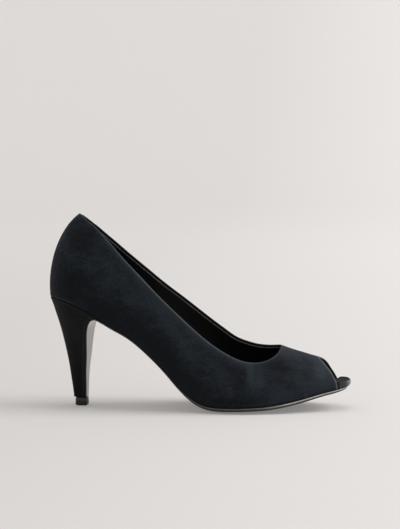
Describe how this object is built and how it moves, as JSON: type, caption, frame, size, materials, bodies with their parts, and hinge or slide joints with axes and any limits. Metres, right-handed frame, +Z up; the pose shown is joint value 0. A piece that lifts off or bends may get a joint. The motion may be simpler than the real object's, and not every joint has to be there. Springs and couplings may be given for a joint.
{
  "type": "peep toe pump",
  "caption": "Right peep toe pump: a low-cut suede upper with an open toe, a covered insole lip, a thin glossy sole that runs down the heel breast, and a high tapered heel.",
  "frame": {"origin": "under the heel tip, on the ground, on the lengthwise centre of the heel", "axes": "+X to the toe, +Y to the inner side of the foot, +Z up"},
  "size_m": [0.2204, 0.0742, 0.1414],
  "materials": {
    "navy_suede": "blue-black suede with a soft nap",
    "heel_suede": "black suede wrapped on the heel",
    "insole_suede": "dark suede cover on the insole and its lip",
    "sole_gloss": "glossy dark sole sheet with a lighter edge at the forefoot",
    "tip_rubber": "dark grey moulded tip"
  },
  "bodies": {
    "root": {"upper": "navy_suede", "insole": "insole_suede", "outsole": "sole_gloss", "heel": "heel_suede", "heel_tip": "tip_rubber"}
  },
  "joints": []
}
